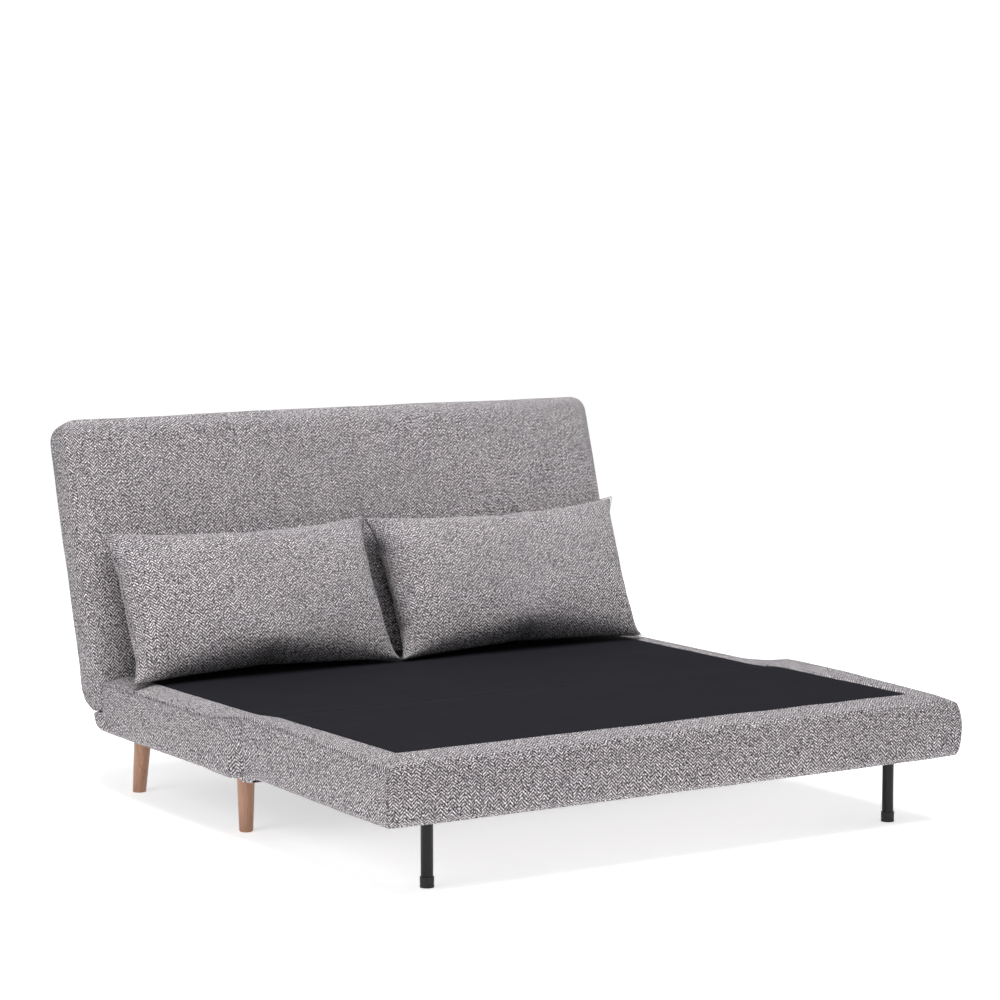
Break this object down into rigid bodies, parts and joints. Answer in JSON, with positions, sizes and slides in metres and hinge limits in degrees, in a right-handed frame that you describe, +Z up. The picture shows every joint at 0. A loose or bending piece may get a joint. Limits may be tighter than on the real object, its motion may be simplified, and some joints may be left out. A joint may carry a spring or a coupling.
{
  "type": "futon sofa bed",
  "caption": "Fold-out sofa bed: padded base on tapered wood legs, fold-over front section on folding metal legs, reclining back and loose pillows.",
  "frame": {"origin": "middle of the outline on the floor, under the sofa bed in its half-open state", "axes": "+Z up, the front faces -Y, X runs along the seat, left is -X"},
  "size_m": [1.44, 1.546, 0.8389],
  "materials": {
    "grey_fabric": "matte",
    "black_deck_cloth": "matte",
    "beech": "satin",
    "holder_plastic": "matte",
    "frame_steel": "satin",
    "hinge_steel": "satin",
    "black_leg_paint": "gloss",
    "black_rubber": "matte",
    "foam": "matte"
  },
  "bodies": {
    "base": {"base_cover": "grey_fabric", "base_deck_cloth": "black_deck_cloth", "base_dust_cover": "black_deck_cloth", "base_frame": "frame_steel", "base_slats": "beech", "base_slat_holders": "holder_plastic", "base_foam": "foam", "leg_plates": "frame_steel", "leg_bolts": "hinge_steel", "front_left_leg": "beech", "front_right_leg": "beech", "rear_left_leg": "beech", "rear_right_leg": "beech", "base_fold_plate_left": "frame_steel", "base_fold_plate_right": "frame_steel", "fold_pin_left": "hinge_steel", "fold_pin_right": "hinge_steel", "recliner_plate_left": "frame_steel", "recliner_plate_right": "frame_steel", "recliner_pin_left": "hinge_steel", "recliner_pin_right": "hinge_steel"},
    "front": {"front_cover": "grey_fabric", "front_deck_cloth": "black_deck_cloth", "front_frame": "frame_steel", "front_slats": "beech", "front_slat_holders": "holder_plastic", "front_seat_foam": "foam", "front_top_pad": "foam", "front_fold_plate_left": "frame_steel", "front_fold_plate_right": "frame_steel", "leg_channel_left": "frame_steel", "leg_channel_right": "frame_steel", "leg_pin_left": "hinge_steel", "leg_pin_right": "hinge_steel"},
    "left_leg": {"metal_leg_left": "black_leg_paint", "metal_leg_cap_left": "black_rubber"},
    "right_leg": {"metal_leg_right": "black_leg_paint", "metal_leg_cap_right": "black_rubber"},
    "back": {"back_cover": "grey_fabric", "back_frame": "frame_steel", "back_slats": "beech", "back_slat_holders": "holder_plastic", "back_foam": "foam", "back_rear_pad": "foam", "recliner_arm_left": "frame_steel", "recliner_arm_right": "frame_steel"},
    "left_pillow_filling": {"pillow_filling_left": "foam"},
    "left_pillow": {"pillow_cover_left": "grey_fabric"},
    "right_pillow_filling": {"pillow_filling_right": "foam"},
    "right_pillow": {"pillow_cover_right": "grey_fabric"}
  },
  "joints": [
    {"name": "seat_fold", "type": "hinge", "parent": "base", "child": "front", "pos_m": [0, -0.18, 0.2686], "axis": [-1, 0, 0], "range_deg": [0, 180], "deforming": ["pillow_cover_left", "pillow_filling_left", "pillow_cover_right", "pillow_filling_right"]},
    {"name": "back_recline", "type": "hinge", "parent": "base", "child": "back", "pos_m": [0, 0.5392, 0.2095], "axis": [-1, 0, 0], "range_deg": [0, 74]},
    {"name": "left_leg_fold", "type": "hinge", "parent": "front", "child": "left_leg", "pos_m": [-0.581, -0.692, 0.155], "axis": [0, -1, 0], "range_deg": [0, 90]},
    {"name": "right_leg_fold", "type": "hinge", "parent": "front", "child": "right_leg", "pos_m": [0.581, -0.692, 0.155], "axis": [0, 1, 0], "range_deg": [0, 90]},
    {"name": "left_pillow_lift", "type": "slide", "parent": "back", "child": "left_pillow_filling", "axis": [0, 0.2756, 0.9613], "range_m": [0, 0.138]},
    {"name": "left_pillow_tilt", "type": "hinge", "parent": "left_pillow_filling", "child": "left_pillow", "pos_m": [0, 0.49751, 0.51482], "axis": [1, 0, 0], "range_deg": [0, 18.6]},
    {"name": "right_pillow_lift", "type": "slide", "parent": "back", "child": "right_pillow_filling", "axis": [0, 0.2756, 0.9613], "range_m": [0, 0.138]},
    {"name": "right_pillow_tilt", "type": "hinge", "parent": "right_pillow_filling", "child": "right_pillow", "pos_m": [0, 0.49751, 0.51482], "axis": [1, 0, 0], "range_deg": [0, 18.6]}
  ],
  "couplings": [
    {"joint": "left_pillow_lift", "follows": "seat_fold", "m_per_rad": 0.0439},
    {"joint": "left_pillow_tilt", "follows": "back_recline", "ratio": 0.2513},
    {"joint": "right_pillow_lift", "follows": "seat_fold", "m_per_rad": 0.0439},
    {"joint": "right_pillow_tilt", "follows": "back_recline", "ratio": 0.2513}
  ]
}
